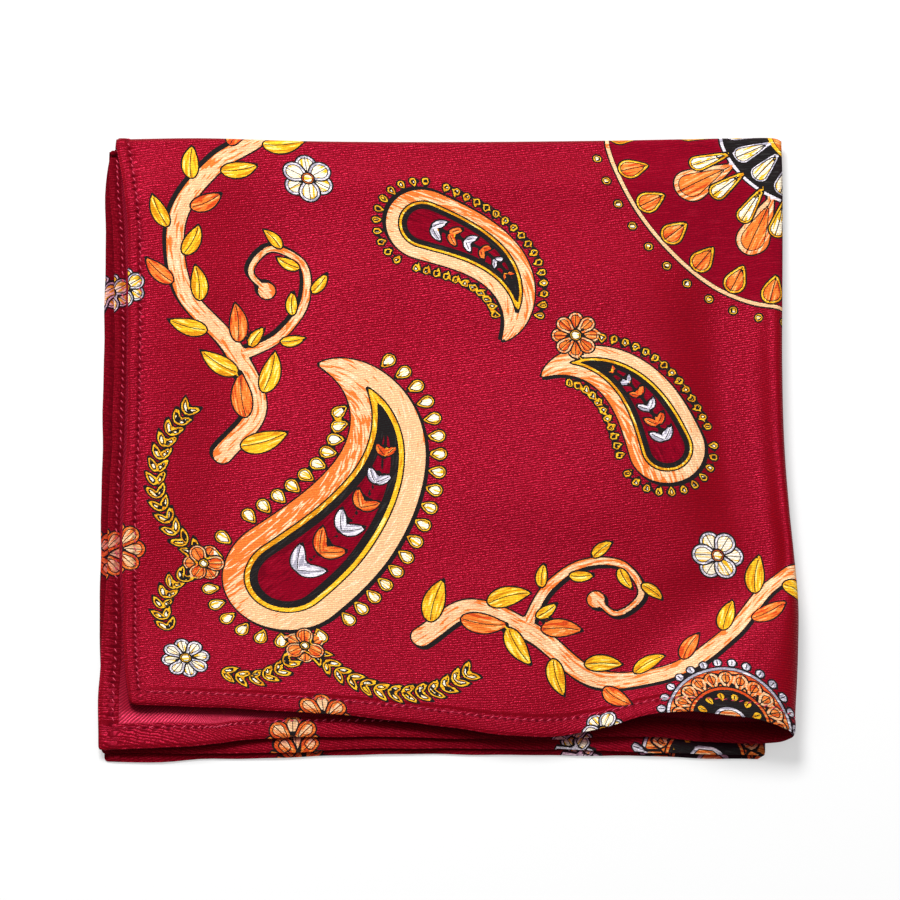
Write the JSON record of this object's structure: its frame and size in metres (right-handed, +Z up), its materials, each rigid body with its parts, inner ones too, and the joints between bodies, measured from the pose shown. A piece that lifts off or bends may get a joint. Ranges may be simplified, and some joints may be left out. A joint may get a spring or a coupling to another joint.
{
  "type": "pocket square",
  "caption": "Crimson patterned twill pocket square with turned, stitched hems, folded flat with its open edges layered and a soft arch lifting one corner.",
  "frame": {"origin": "under the middle of the folded square, on the surface that it lies on", "axes": "+X to the roll on the right, +Y to the fold at the back, +Z up"},
  "size_m": [0.2162, 0.2054, 0.0144],
  "materials": {
    "cloth_right_side": "fine twill with a low sheen and a printed pattern",
    "cloth_wrong_side": "matt twill, paler than the right side",
    "sewing_thread": "satin thread"
  },
  "bodies": {
    "root": {"top_layer": "cloth_right_side", "under_layers": "cloth_wrong_side", "hem_1_left": "cloth_right_side", "hem_1_front": "cloth_right_side", "hem_2_left": "cloth_right_side", "hem_2_front": "cloth_right_side", "hem_3_left": "cloth_right_side", "hem_3_front": "cloth_right_side", "hem_4_left": "cloth_right_side", "hem_4_front": "cloth_right_side"}
  },
  "joints": []
}
